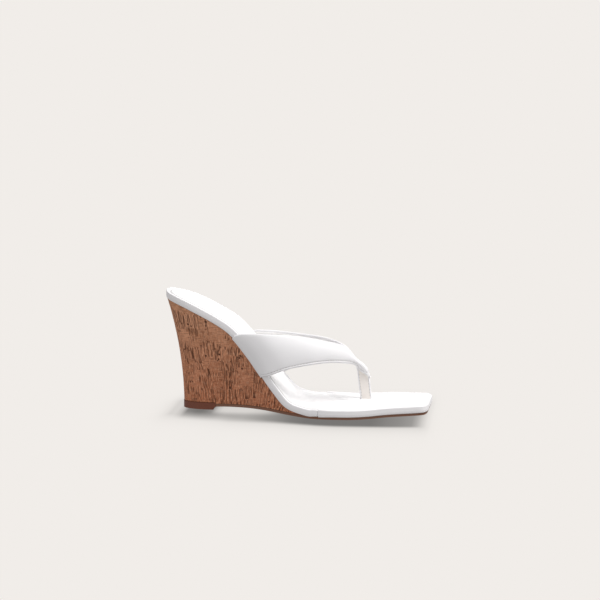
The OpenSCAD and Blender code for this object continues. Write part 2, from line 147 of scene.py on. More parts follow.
ARCH_KNOTS = [
    (4, 1.6), (14, 2.4), (29.5, 3.4), (44, 3.7), (58, 3.1), (70.5, 1.9), (80, 1), (90.5, 0.25),
]
HEEL_LEAN = [(-27.5, -14.4), (30, 30), (300, 300)]
WAIST = [(-27.5, 0.53), (14, 0.53), (30, 0.65), (44, 0.79), (58, 0.88), (71, 0.93), (95, 1)]

GAP = 0.05
BED_T = 5.6
SOLE_T = 2.1
HEEL_H = 91.6
WEDGE_TIP = 86
WRAP_SEAM = 101
TOP_PIECE_END = 14
TOP_PIECE_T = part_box("top_piece")[1].z / MM
BED_LENGTH = (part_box("edge_wrap_front")[1].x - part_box("edge_wrap_rear")[0].x) / MM
BED_WIDTH = (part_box("edge_wrap_front")[1].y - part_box("edge_wrap_front")[0].y) / MM

base_outline = smooth(OUTLINE_KNOTS, 5, closed=True)
LEN = round(BED_LENGTH / np.ptp(base_outline[:, 0]), 3)
WID = round(BED_WIDTH / np.ptp(base_outline[:, 1]), 3)

feather = smooth(
    [(x * LEN, SOLE_T + rise * (HEEL_H - SOLE_T)) for x, rise in RISE_KNOTS]
    + [(x * LEN, SOLE_T + z) for x, z in SPRING_KNOTS],
    12,
)
tread = smooth([(x * LEN, z) for x, z in ARCH_KNOTS + SPRING_KNOTS], 12)


def feather_z(x):
    return read_off(x, feather)


def sole_top_z(x):
    return np.minimum(read_off(x, tread) + SOLE_T, feather_z(x))


def wedge_floor_z(x):
    return np.where(x < TOP_PIECE_END * LEN, TOP_PIECE_T, sole_top_z(x))


# Z at steps of height above the feather line and of x, for bed_z to read between.
HEIGHT_STEP = 0.25
X_STEP = 0.5
table_heights = np.arange(-5, 13, HEIGHT_STEP)
table_x = np.arange(-40, 200, X_STEP)
height_table = np.array([read_off(table_x, raised(feather, h)) for h in table_heights])


def bed_z(x, height):
    """Z of the surface that lies at a height above the feather line, measured square to it."""
    x, height = np.broadcast_arrays(np.asarray(x, float), np.asarray(height, float))
    row = np.clip((height - table_heights[0]) / HEIGHT_STEP, 0, len(table_heights) - 1.001)
    col = np.clip((x - table_x[0]) / X_STEP, 0, len(table_x) - 1.001)
    r, c = row.astype(int), col.astype(int)
    fr, fc = row - r, col - c
    low = mix(height_table[r, c], height_table[r, c + 1], fc)
    high = mix(height_table[r + 1, c], height_table[r + 1, c + 1], fc)
    return mix(low, high, fr)


closed_outline = smooth(OUTLINE_KNOTS * [LEN, WID], 24, closed=True)
closed_outline = np.vstack([closed_outline, closed_outline[:1]])
outline_s = length_along(closed_outline)
PERIMETER = outline_s[-1]
behind_toe = closed_outline[:, 0] < 170 * LEN
lateral_edge = closed_outline[(closed_outline[:, 1] < 0) & behind_toe]
medial_edge = closed_outline[(closed_outline[:, 1] > 0) & behind_toe][::-1]

# The outline's direction at a point is taken from this far before it to this far after it.
REACH = 0.8


def edge_y(side, x):
    return read_off(x, lateral_edge if side == LATERAL else medial_edge)


def outline_at(s):
    """Points of the outline at distances s round it from the back of the heel, lateral side first."""
    return resample(closed_outline, np.mod(s, PERIMETER))


def inward_at(s):
    """Directions square to the outline, towards the inside."""
    return turned_left(outline_at(s + REACH) - outline_at(s - REACH))


def outline_crossing(x, side):
    """Distance round the outline to the point of one side that has this x."""
    s = np.arange(0, PERIMETER, 0.1)
    p = outline_at(s)
    on_side = (p[:, 1] < 0) == (side == LATERAL)
    miss = np.where(on_side, np.abs(p[:, 0] - x), 1e9)
    return s[np.argmin(miss)]


# --- Meshes ---


def make_mesh(name, verts, faces, uv=None, values=None, crease_deg=50):
    """Object from points in millimetres. uv gives each point two millimetre coordinates, and
    values a share from 0 to 1. The materials read both."""
    mesh = bpy.data.meshes.new(name)
    mesh.from_pydata((np.asarray(verts) * MM).tolist(), [], faces)
    if uv is not None:
        layer = mesh.uv_layers.new(name="surface")
        corner = np.zeros(len(mesh.loops), np.int32)
        mesh.loops.foreach_get("vertex_index", corner)
        layer.data.foreach_set("uv", np.asarray(uv, np.float32)[corner].ravel())
    if values is not None:
        attribute = mesh.attributes.new("marks", "FLOAT", "POINT")
        attribute.data.foreach_set("value", np.asarray(values, np.float32))
    b = bmesh.new()
    b.from_mesh(mesh)
    bmesh.ops.remove_doubles(b, verts=b.verts, dist=1e-6)
    bmesh.ops.dissolve_degenerate(b, edges=b.edges, dist=1e-6)
    bmesh.ops.recalc_face_normals(b, faces=b.faces)
    b.to_mesh(mesh)
    b.free()
    mesh.shade_smooth()
    mesh.set_sharp_from_angle(angle=math.radians(crease_deg))
    obj = bpy.data.objects.new(name, mesh)
    bpy.context.scene.collection.objects.link(obj)
    return obj


def grid_faces(rows, cols, start=0, flip=False, ring=False):
    """Faces between rows of points. As a ring, the last point of each row joins up with the first."""
    faces = []
    for row in range(start, start + (rows - 1) * cols, cols):
        for c in range(cols if ring else cols - 1):
            a, b = row + c, row + (c + 1) % cols
            quad = [a, a + cols, b + cols, b]
            faces.append(quad[::-1] if flip else quad)
    return faces


def shell_faces(rows, cols):
    """Faces of a closed shell whose two sides are grids of points, one after the other."""
    n = rows * cols
    index = np.arange(n).reshape(rows, cols)
    rim = np.concatenate([index[0], index[1:, -1], index[-1, -2::-1], index[-2:0:-1, 0]])
    after = np.roll(rim, -1)
    walls = np.stack([rim, after, after + n, rim + n], axis=1).tolist()
    return grid_faces(rows, cols) + grid_faces(rows, cols, n, flip=True) + walls


def make_shell(name, face, back, uv=None, values=None, **options):
    """Closed solid between two grids of points, each shaped (rows, columns, 3)."""
    rows, cols = face.shape[:2]
    both = np.concatenate([face.reshape(-1, 3), back.reshape(-1, 3)])
    if uv is not None:
        uv = np.tile(uv.reshape(-1, 2), (2, 1))
    if values is not None:
        values = np.tile(values.reshape(-1), 2)
    return make_mesh(name, both, shell_faces(rows, cols), uv, values, **options)


def place(obj, material, node_names):
    """Puts a finished piece on the sandal in place of its CAD nodes."""
    obj.data.materials.append(material)
    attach(obj, "root")
    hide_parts(*node_names)


def finish_cad(names, material, soften_mm=0):
    """Gives CAD parts a material and, where they stay in sight, softer edges."""
    for name in names:
        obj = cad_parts[name]
        obj.data.materials.clear()
        obj.data.materials.append(material)
        if soften_mm:
            bevel = obj.modifiers.new("soft edges", "BEVEL")
            bevel.width = soften_mm * MM
            bevel.segments = 3
            bevel.limit_method = "ANGLE"
            bevel.angle_limit = math.radians(50)


# --- Materials ---


class Tree:
    """Short-hand for a tree of shader nodes, whose inputs go by name or by _ and their number."""

    def __init__(self, tree):
        self.tree = tree

    def node(self, kind, settings=None, **inputs):
        n = self.tree.nodes.new(kind)
        for key, value in (settings or {}).items():
            setattr(n, key, value)
        for key, value in inputs.items():
            self.feed(n, key, value)
        return n

    def feed(self, n, key, value):
        socket = n.inputs[int(key[1:])] if key[0] == "_" else n.inputs[key]
        if isinstance(value, bpy.types.NodeSocket):
            self.tree.links.new(value, socket)
        else:
            socket.default_value = value

    def span(self, value, low, high, to_low=0.0, to_high=1.0):
        n = self.node("ShaderNodeMapRange", _0=value, _1=low, _2=high, _3=to_low, _4=to_high)
        return n.outputs[0]

    def math(self, kind, a, b=0.0):
        return self.node("ShaderNodeMath", {"operation": kind}, _0=a, _1=b).outputs[0]

    def vector_math(self, kind, **inputs):
        return self.node("ShaderNodeVectorMath", {"operation": kind}, **inputs).outputs[0]

    def blend(self, share, a, b, kind="MIX"):
        n = self.node("ShaderNodeMix", {"data_type": "RGBA", "blend_type": kind}, _0=share)
        self.feed(n, "_6", a if isinstance(a, bpy.types.NodeSocket) else (*a, 1))
        self.feed(n, "_7", b if isinstance(b, bpy.types.NodeSocket) else (*b, 1))
        return n.outputs[2]


class Shader(Tree):
    """Short-hand for one procedural material."""

    def __init__(self, name):
        self.material = bpy.data.materials.new(name)
        self.material.use_nodes = True
        super().__init__(self.material.node_tree)
        self.surface = self.tree.nodes["Principled BSDF"]
        self.place = self.node("ShaderNodeTexCoord").outputs["Object"]

    def set(self, **inputs):
        for key, value in inputs.items():
            self.feed(self.surface, key.replace("_", " "), value)

    def stretched(self, vector, scale, offset=(0, 0, 0)):
        return self.node("ShaderNodeMapping", Vector=vector, Scale=scale, Location=offset).outputs[0]

    def noise(self, scale, vector=None, detail=3, roughness=0.55):
        n = self.node("ShaderNodeTexNoise", Scale=scale, Detail=detail, Roughness=roughness)
        self.feed(n, "Vector", vector or self.place)
        return n.outputs["Fac"]

    def grain(self, scales, vector=None, start=(0, 0, 0), **options):
        """Noise drawn out by a scale of its own along each axis."""
        return self.noise(1, self.stretched(vector or self.place, scales, start), **options)

    def cells(self, scale, vector=None, output="Distance", **settings):
        n = self.node("ShaderNodeTexVoronoi", settings, Scale=scale)
        self.feed(n, "Vector", vector or self.place)
        return n.outputs[output]

    def tint(self, base, where, share, colour):
        """A colour laid over a base by a share, where a value from 0 to 1 says so."""
        return self.blend(self.math("MULTIPLY", where, share), base, colour)

    def uv(self):
        return self.node("ShaderNodeUVMap", {"uv_map": "surface"}).outputs[0]

    def marks(self):
        return self.node("ShaderNodeAttribute", {"attribute_name": "marks"}).outputs["Fac"]

    def edges(self, low, high):
        """0 to 1 as the surface turns from hollow or flat to a sharp edge."""
        return self.span(self.node("ShaderNodeNewGeometry").outputs["Pointiness"], low, high)

    def bump(self, height, depth_mm, strength=1.0, under=None):
        n = self.node("ShaderNodeBump", Height=height, Distance=depth_mm * MM, Strength=strength)
        if under is not None:
            self.feed(n, "Normal", under)
        return n.outputs[0]

    def patterned(self, value, colour, dark, depth_mm, strength, **inputs):
        """Finished material whose tone and relief both follow one pattern."""
        base = self.blend(value, shade_of(colour, dark), colour)
        self.set(Base_Color=base, Normal=self.bump(value, depth_mm, strength), **inputs)
        return self.material


def shade_of(colour, share):
    """A colour made darker or lighter."""
    return tuple(min(1, share * c) for c in colour)


def leather(name, colour, roughness=0.5, grain_mm=0.75, groove_shade=0.0, rim=0.0):
    """Coated imitation leather: fine pebbled grain, faint clouding, painted shade in hollows, cleaner
    worn edges. The mesh's marks can be a groove's painted shade, darker by a share, or leave a white
    rim where they are low."""
    s = Shader(name)
    base = s.blend(s.noise(45), shade_of(colour, 0.965), colour)
    # Painted shade: hollows are darkened as if they lay in shadow.
    base = s.tint(base, s.edges(0.495, 0.43), 0.6, shade_of(colour, 0.6))
    # Painted shade where the mesh marks a groove.
    if groove_shade:
        base = s.tint(base, s.marks(), groove_shade, shade_of(colour, 0.5))
    base = s.tint(base, s.edges(0.53, 0.62), 0.5, shade_of(colour, 1.04))
    if rim:
        base = s.blend(s.span(s.marks(), rim - 0.01, rim + 0.02), STRAP_WHITE, base)
    s.set(Base_Color=base, Specular_IOR_Level=0.38, Sheen_Weight=0.05)
    s.set(Roughness=s.span(s.noise(300), 0.3, 0.7, roughness - 0.06, roughness + 0.08))
    swell = s.bump(s.noise(160, detail=2), 0.12, 0.35)
    grain = s.bump(s.cells(1000 / grain_mm, feature="SMOOTH_F1"), 0.035, 0.7, swell)
    s.set(Normal=s.bump(s.noise(2600, detail=2), 0.0175, 0.5, grain))
    return s.material


# Nets of cracks in the cork: width and height of their cells in mm, how often a crack breaks off
# along a mm, where the net starts and how dark it is.
CRACK_NETS = [(3.2, 90, 0.04, 0, 0.9), (1.8, 24, 0.09, 40, 0.8)]


def cork(name):
    """Cork veneer made of small tiles of different tones. Broken nets of upright dark cracks run
    between pale flecks, and the calm tiles have level streaks instead. The mesh marks the pits and a
    painted shade along the top and bottom rims; the rest is drawn on the surface's coordinates."""
    s = Shader(name)
    uv = s.uv()
    height = s.node("ShaderNodeSeparateXYZ", _0=uv).outputs[1]
    base = s.blend(s.span(height, 0, 85), CORK_LOW, CORK_HIGH)
    tile = s.cells(1, s.stretched(uv, (1 / 11, 1 / 9, 1)), "Color", distance="CHEBYCHEV")
    tone, calm, _ = s.node("ShaderNodeSeparateColor", _0=tile).outputs
    darker = s.blend(1, base, (0.74, 0.68, 0.62), "MULTIPLY")
    base = s.blend(s.span(tone, 0, 1, 0, 0.85), base, darker)
    flecks = s.grain((1.1, 0.30, 1), uv, detail=4, roughness=0.7)
    base = s.blend(s.span(flecks, 0.48, 0.68, 0, 0.6), base, CORK_PALE)
    calm = s.span(calm, 0.60, 0.67)
    wavering = s.grain((0.25, 0.35, 1), uv)
    shift = s.node("ShaderNodeCombineXYZ", _0=s.span(wavering, 0, 1, -0.6, 0.6)).outputs[0]
    bent = s.vector_math("ADD", _0=uv, _1=shift)
    streaks = s.span(s.grain((0.13, 1.3, 1), bent), 0.50, 0.58)
    streaks = s.math("MULTIPLY", streaks, s.span(calm, 0, 1, 0.15, 1))
    cracks = 0.0
    for apart, tall, breaks, start, strength in CRACK_NETS:
        at = s.stretched(bent, (1 / apart, 1 / tall, 1), (start, 0, 0))
        at = s.vector_math("MULTIPLY_ADD", _0=tile, _1=(9, 9, 0), _2=at)
        net = s.cells(1, at, feature="DISTANCE_TO_EDGE", voronoi_dimensions="2D")
        lines = s.span(net, 0.27 / apart, 0.10 / apart)
        gaps = s.grain((0.6, breaks, 1), uv, (start, 5, 0), detail=2)
        lines = s.math("MULTIPLY", lines, s.span(gaps, 0.42, 0.48, 0, strength))
        cracks = s.math("MAXIMUM", lines, cracks)
    cracks = s.math("MULTIPLY", cracks, s.span(calm, 0, 1, 1, 0.2))
    # The mesh's marks hold the pits and a painted shade along the rims.
    marks = s.math("MAXIMUM", s.marks(), cracks)
    marks = s.math("MAXIMUM", marks, s.math("MULTIPLY", streaks, 0.42))
    base = s.tint(base, marks, 0.95, CORK_DARK)
    s.set(Base_Color=base, Roughness=s.span(flecks, 0.3, 0.7, 0.9, 0.72), Specular_IOR_Level=0.2)
    rough = s.bump(s.math("SUBTRACT", flecks, marks), 0.15, 0.6)
    s.set(Normal=s.bump(s.noise(1400, detail=4), 0.06, 0.6, rough))
    return s.material


def rubber(name, colour, scuff):
    """Moulded rubber with fine pitting and pale scuffs on its edges."""
    s = Shader(name)
    clouds = s.noise(90, detail=4)
    base = s.blend(clouds, shade_of(colour, 0.8), shade_of(colour, 1.15))
    scratches = s.span(s.grain((220, 220, 1500)), 0.62, 0.75, 0, 0.3)
    base = s.tint(s.blend(scratches, base, scuff), s.edges(0.55, 0.66), 0.3, scuff)
    s.set(Base_Color=base, Roughness=s.span(clouds, 0.3, 0.7, 0.5, 0.68), Specular_IOR_Level=0.4)
    s.set(Normal=s.bump(s.noise(1800), 0.05, 0.5))
    return s.material


def woven(name, colour, thread_mm=0.5):
    """Plain weave of crossing threads. The wave texture has 20 turns to a length of two pi."""
    s = Shader(name)
    scale = 2 * math.pi / thread_mm / 20 * 1000
    warp, weft = (
        s.node("ShaderNodeTexWave", {"bands_direction": d}, Scale=scale, Distortion=0.3, Vector=s.place)
        for d in "XZ"
    )
    weave = s.math("MAXIMUM", warp.outputs["Fac"], weft.outputs["Fac"])
    return s.patterned(weave, colour, 0.7, 0.12, 0.8, Roughness=0.85)


def thread(name, colour):
    """Twisted sewing thread."""
    s = Shader(name)
    twist = s.grain((2400, 2400, 5200), detail=2)
    return s.patterned(twist, colour, 0.78, 0.05, 0.6, Roughness=0.6, Sheen_Weight=0.2)


def fibrous(name, colour, scale=400, contrast=0.35, roughness=0.9):
    """Pressed board, felt or foam: a mottled matt body."""
    s = Shader(name)
    fibres = s.noise(scale, detail=5, roughness=0.7)
    base = s.blend(fibres, shade_of(colour, 1 - contrast), colour)
    s.set(Base_Color=base, Roughness=roughness, Specular_IOR_Level=0.2)
    s.set(Normal=s.bump(s.cells(scale * 3), 0.15, 0.5, s.bump(fibres, 0.2, 0.5)))
    return s.material


def metal(name, colour, roughness):
    """Drawn metal with fine lines along X."""
    s = Shader(name)
    lines = s.grain((120, 4000, 4000))
    dull = s.span(lines, 0.3, 0.7, roughness, roughness + 0.2)
    return s.patterned(lines, colour, 0.8, 0.02, 0.4, Metallic=1.0, Roughness=dull)


CORK_LOW = (0.53, 0.188, 0.092)
CORK_HIGH = (0.68, 0.335, 0.195)
CORK_PALE = (0.92, 0.53, 0.34)
CORK_DARK = (0.06, 0.02, 0.009)
WHITE = (0.82, 0.805, 0.815)
# Brighter than the bed's own white: painted light that makes up for the shade of the straps on the
# sock.
SOCK_WHITE = (0.89, 0.88, 0.88)
STRAP_WHITE = (0.785, 0.775, 0.785)
# Brighter than the strap's outer white: painted light that makes up for the shade inside the straps.
LINING_WHITE = (0.93, 0.92, 0.91)
CREAM = (0.87, 0.82, 0.775)

strap_leather = leather("strap_leather", STRAP_WHITE)
lining_leather = leather("lining_leather", LINING_WHITE, roughness=0.6, grain_mm=1.1)
bed_leather = leather("bed_leather", WHITE, roughness=0.48)
sock_leather = leather("sock_leather", SOCK_WHITE, groove_shade=0.85)


# --- Footbed ---

# Section of the wrap's outside, from under the sock out over the edge and in under the footbed, as
# distance in from the outline and height above the feather line.
REAR_SECTION = [
    (3.4, 4.84), (2.95, 4.88), (2.65, 5.12), (2.25, 5.54), (1.6, 5.76), (0.85, 5.72), (0.32, 5.42),
    (0.06, 4.85), (0.0, 3.9), (-0.1, 2.8), (-0.05, 1.5), (0.05, 0.6), (0.35, 0.15), (1.0, 0.0),
    (3.4, 0.0), (8.5, 0.0),
]
FRONT_SECTION = [
    (4.6, 5.66), (3.4, 5.74), (2.3, 5.74), (1.3, 5.7), (0.66, 5.5), (0.24, 5.1), (0.04, 4.5),
    (0.0, 3.3), (-0.08, 2.3), (-0.03, 1.3), (0.06, 0.6), (0.35, 0.15), (1.0, 0.0), (3.4, 0.0),
]
WRAP_T = 0.8
# The front strip ends over the rear one and proud of it. The rear one dips where the two meet.
SEAM_OVERLAP = 3
SEAM_STEP = 0.45
SEAM_DIP = 0.55


def wrap_grids(s, section, outward):
    """Both sides of a leather strip folded round the edge, along distances s round the outline. It is
    pushed out by a distance at each s: sideways along its face, up on its top and down below."""
    outside = smooth(section, 3)
    p, n = outline_at(s), inward_at(s)
    grids = []
    for path in (outside, raised(outside, WRAP_T)):
        d = path[:, 0] - outward[:, None]
        upward = step(3.5, 5.4, path[:, 1]) - 0.7 * step(1.2, 0.0, path[:, 1])
        h = path[:, 1] + outward[:, None] * upward
        xy = p[:, None] + n[:, None] * d[..., None]
        grids.append(np.dstack([xy, bed_z(xy[..., 0], h)]))
    return grids


def strip_stations(start, end, near_ends, middle_from, count):
    """Distances along a strip, closer together near both of its ends, and each one's distance from
    the nearer end."""
    near = np.array(near_ends)
    middle = np.linspace(start + middle_from, end - middle_from, count)
    s = np.concatenate([start + near, middle, end - near[::-1]])
    return s, np.minimum(s - start, end - s)


def build_edge_wraps():
    under_front = (WRAP_SEAM + SEAM_OVERLAP) * LEN
    start, end = outline_crossing(under_front, MEDIAL), outline_crossing(under_front, LATERAL)
    s, from_end = strip_stations(start, end + PERIMETER, np.arange(0, 5, 0.25), 5, 240)
    dip = SEAM_DIP * bump_at(from_end - SEAM_OVERLAP * LEN, 0.35, 0.5)
    rear = make_shell("edge_wrap_rear_leather", *wrap_grids(s, REAR_SECTION, -dip))
    place(rear, bed_leather, ["edge_wrap_rear"])

    seam = WRAP_SEAM * LEN
    start, end = outline_crossing(seam, LATERAL), outline_crossing(seam, MEDIAL)
    s, from_end = strip_stations(start, end, [0, 0.08, 0.25, 0.5, 0.8], 1.3, 250)
    proud = SEAM_STEP * np.sqrt(np.clip(from_end / 0.3, 0, 1)) * (1 - 0.8 * step(1, 14, from_end))
    front = make_shell("edge_wrap_front_leather", *wrap_grids(s, FRONT_SECTION, proud))
    place(front, bed_leather, ["edge_wrap_front"])


SOCK_BOTTOM = 4.77
# Height of the sock's top at distances in from the edge, beside the rear wrap and the front one.
SOCK_REAR = [
    (2.0, 4.9), (2.95, 4.9), (3.25, 5.08), (3.7, 5.45), (4.6, 5.7), (8, 6.05), (14, 6.35), (40, 6.5),
]
SOCK_FRONT = [(2.0, 5.3), (3.0, 5.55), (4.4, 5.66), (6, 5.73), (10, 5.95), (16, 6.2), (40, 6.35)]
# Where the painted shade in the groove beside the rear wrap is darkest, and half of its width.
GROOVE_AT, GROOVE_HALF = 3.8, 1.0
# Middle of the toe post at its foot, and half of its length and width there.
POST_X, POST_Y = 136, 3 * WID
POST_HALF = (4.6, 1.5)
# Soft fold that the toe post pulls up in the sock, from the inner edge to the foot of the post. It
# is gentle on its front side, steep behind, and has a shallow trough behind it.
FOLD_KNOTS = [(97, 29), (105, 20), (112, 10.5), (119, 3), (126, -1.5), (132, -1.8)]
FOLD_HEIGHT = 1.15
FOLD_GENTLE, FOLD_STEEP = 9.0, 2.0
TROUGH_AT, TROUGH_HALF, TROUGH_SHARE = -4.2, 2.6, 0.35
# Small pinch in the sock where the post passes through it.
PINCH_KNOTS = [(131.6, 0.5), (130.4, -5), (129.0, -12)]
PINCH_DEPTH, PINCH_HALF = 0.85, 0.6


def to_curve(points, curve):
    """Signed distance of points from a flat curve, positive on its left, and how far along it."""
    best = np.full(points.shape[:-1], 1e9)
    side = np.zeros_like(best)
    share = np.zeros_like(best)
    for i in range(len(curve) - 1):
        a, d = curve[i], curve[i + 1] - curve[i]
        t = np.clip(((points - a) @ d) / (d @ d), 0, 1)
        off = points - a - t[..., None] * d
        dist = np.linalg.norm(off, axis=-1)
        nearer = dist < best
        best = np.where(nearer, dist, best)
        side = np.where(nearer, np.sign(d[0] * off[..., 1] - d[1] * off[..., 0]), side)
        share = np.where(nearer, (i + t) / (len(curve) - 1), share)
    return best * np.where(side < 0, -1, 1), share


def frontness(x):
    """0 beside the rear wrap and 1 beside the front one."""
    return step(WRAP_SEAM - 2, WRAP_SEAM + 1, x / LEN)


def sock_height(xy, d):
    """Height of the sock's top above the feather line, at points xy a distance d in from the edge."""
    x, y = xy[..., 0], xy[..., 1]
    h = mix(read_off(d, smooth(SOCK_REAR, 6)), read_off(d, smooth(SOCK_FRONT, 6)), frontness(x))
    h = h + step(3, 12, d) * 0.10 * np.sin(x / 13 + 1.1) * np.sin(y / 9 + x / 40)
    off, share = to_curve(xy, smooth(FOLD_KNOTS, 6))
    fade = step(0.0, 0.35, share) * (1 - 0.45 * step(0.75, 1, share))
    fold = bump_at(off, 0, np.where(off > 0, FOLD_GENTLE, FOLD_STEEP))
    trough = TROUGH_SHARE * bump_at(off, TROUGH_AT, TROUGH_HALF)
    h = h + step(3.5, 8, d) * FOLD_HEIGHT * fade * (fold - trough)
    off, share = to_curve(xy, smooth(PINCH_KNOTS, 4))
    h = h - PINCH_DEPTH * bump_at(off, 0, PINCH_HALF) * (1 - step(0.55, 1.0, share))
    from_post = np.abs(xy - (POST_X, POST_Y)) - POST_HALF
    around = np.hypot(*np.moveaxis(np.maximum(from_post, 0), -1, 0))
    return h - 0.5 * bump_at(around, 0.2, 1.0)


def build_sock():
    """Top of the footbed: rings that follow its edge, then close in on a line down its middle."""
    count = 480
    s = np.arange(count) * PERIMETER / count
    p, n = outline_at(s), inward_at(s)
    spine_x = np.clip(p[:, 0], -7.5 * LEN, 173.5 * LEN)
    spine_y = (edge_y(LATERAL, spine_x) + edge_y(MEDIAL, spine_x)) / 2
    spine = np.stack([spine_x, spine_y], axis=1)
    rims = [2.0, 2.5, 2.85, 3.0, 3.15, 3.3, 3.5, 3.7, 4.1, 4.6]
    rings = [p + n * d for d in rims]
    depths = [np.full(count, d) for d in rims]
    start = rings[-1]
    reach = np.linalg.norm(spine - start, axis=1)
    for t in (np.arange(1, 35) / 34) ** 0.9:
        rings.append(mix(start, spine, t))
        depths.append(rims[-1] + t * reach)
    xy, d = np.array(rings), np.array(depths)
    heights = [sock_height(xy, d), SOCK_BOTTOM]
    verts = np.concatenate([np.dstack([xy, bed_z(xy[..., 0], h)]).reshape(-1, 3) for h in heights])
    # Painted shade in the groove beside the rear wrap, fainter beside the front one.
    groove = bump_at(d, GROOVE_AT, GROOVE_HALF) * (1 - 0.6 * frontness(xy[..., 0]))
    values = np.tile(groove.ravel(), 2)
    under = len(rings) * count
    faces = grid_faces(len(rings), count, ring=True)
    faces += grid_faces(len(rings), count, under, flip=True, ring=True)
    faces += [[(c + 1) % count, c, c + under, (c + 1) % count + under] for c in range(count)]
    sock = make_mesh("footbed_sock_leather", verts, faces, values=values)
    place(sock, sock_leather, ["footbed_sock"])


# --- Cork ---

CORK_INSET = 0.7
CORK_T = 1.2
WALL_BOW = 3 / 85
PITS = 130
# How far pits, the grain and the rounding of the cork's rims go in.
PIT_DEPTH, GRAIN_DEPTH, RIM_DEPTH = 0.30, 0.12, 0.35
# Where the strap's wings go in under the footbed and where they leave its top edge: x of the rear
# and front corner of each.
WING_ROOTS = {LATERAL: (30.5, 54), MEDIAL: (35.5, 60)}
WING_TOPS = {LATERAL: (34.6, 60.3), MEDIAL: (39.6, 66.5)}
TAIL_T = 0.8


def foot_of(p):
    """Where a point of the outline ends up at the foot of the wedge."""
    x = p[..., 0] / LEN
    return np.stack([read_off(x, HEEL_LEAN) * LEN, p[..., 1] * read_off(x, WAIST)], axis=-1)


def wall_grid(s, levels, d):
    """The wedge's wall, set in by d, along distances s round the outline and shares of its height."""
    p, n = outline_at(s), inward_at(s)
    low_n = turned_left(foot_of(outline_at(s + REACH)) - foot_of(outline_at(s - REACH)))
    top, low = p + n * d, foot_of(p) + low_n * d
    z_low = wedge_floor_z(low[:, 0]) + GAP
    slot = np.zeros(len(s))
    for side, (rear, front) in WING_ROOTS.items():
        on_side = (p[:, 1] < 0) == (side == LATERAL)
        inside = step(rear * LEN - 0.3, rear * LEN, p[:, 0])
        inside = inside * (1 - step(front * LEN, front * LEN + 0.3, p[:, 0]))
        slot = np.maximum(slot, on_side * inside * (TAIL_T + GAP))
    z_high = np.maximum(bed_z(top[:, 0], -GAP - slot), z_low + 0.3)
    rise = (z_high - z_low)[:, None]
    bow = WALL_BOW * rise * 4 * levels * (1 - levels)
    xy = mix(low[:, None], top[:, None], levels[:, None]) + n[:, None] * bow[..., None]
    return np.dstack([xy, z_low[:, None] + rise * levels])


def value_noise(u, v, seed):
    """Smooth noise from 0 to 1 on a lattice of whole numbers, the same every run."""
    def corner(i, j):
        h = (i * 374761393 + j * 668265263 + seed * 1442695041) & 0xFFFFFFFF
        h = ((h ^ (h >> 13)) * 1274126177) & 0xFFFFFFFF
        return ((h ^ (h >> 16)) & 0xFFFF) / 65535

    i, j = np.floor(u).astype(np.int64), np.floor(v).astype(np.int64)
    fu, fv = step(0, 1, u - i), step(0, 1, v - j)
    low = mix(corner(i, j), corner(i + 1, j), fu)
    high = mix(corner(i, j + 1), corner(i + 1, j + 1), fu)
    return mix(low, high, fv)


def cork_marks(u, v):
    """Share, 0 to 1, of pits and the deepest dashes at surface coordinates in millimetres."""
    wander = 1.1 * (value_noise(u / 3.1, v / 6, 3) - 0.5)
    long = value_noise((u + wander) / 1.25, v / 3.6, 7)
    where = value_noise(u / 9, v / 11, 9)
    marks = 0.5 * step(0.80, 1.0, long * (0.6 + 0.8 * where))
    rng = np.random.default_rng(11)
    for _ in range(PITS):
        centre_u, centre_v = rng.uniform(u.min(), u.max()), rng.uniform(0, 95)
        r = rng.uniform(0.5, 1.25)
        stretch_u, stretch_v = rng.uniform(0.7, 1.2), rng.uniform(0.7, 1.3)
        lobed = np.hypot((u - centre_u) * stretch_u, (v - centre_v) * stretch_v) + 0.5 * (long - 0.5)
        marks = np.maximum(marks, 1 - step(r * 0.55, r, lobed))
    return marks


def build_cork():
    s_from = outline_crossing(WEDGE_TIP * LEN, MEDIAL)
    s_to = outline_crossing(WEDGE_TIP * LEN, LATERAL) + PERIMETER
    columns, rows = ((500, 150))
    s = np.linspace(s_from, s_to, columns)
    levels = np.linspace(0, 1, rows)
    face = wall_grid(s, levels, CORK_INSET)
    back = wall_grid(s, levels, CORK_INSET + CORK_T)
    along = np.broadcast_to((s - s_from)[:, None], face.shape[:2])
    x, y, up = np.moveaxis(face, -1, 0)
    # Towards the wedge's tip the grain leans, with its lower end nearer the heel.
    lean = 0.30 * step(35, 80, x) * (feather_z(x) - up)
    across_grain = along + np.where(y < 0, lean, -lean)
    marks = cork_marks(across_grain, up)
    from_rim = np.minimum(levels, 1 - levels) * (up[:, -1] - up[:, 0])[:, None]
    grain = GRAIN_DEPTH * (value_noise(along / 1.3, up / 2.2, 21) - 0.5)
    sunk = (PIT_DEPTH * marks + grain) * step(0.0, 0.8, from_rim)
    sunk = sunk + RIM_DEPTH * (1 - step(0, 0.5, from_rim)) ** 2
    face = face + (back - face) / CORK_T * sunk[..., None]
    # Painted shade along the top and bottom rims, where the cork meets the parts above and below it.
    marks = np.maximum(marks, 0.55 * (1 - step(0.0, 0.45, from_rim)))
    uv = np.dstack([across_grain, up])
    cover = make_shell("cork_cover", face, back, uv, marks, crease_deg=60)
    place(cover, cork("cork"), ["cork_wrap"])


# --- Straps ---

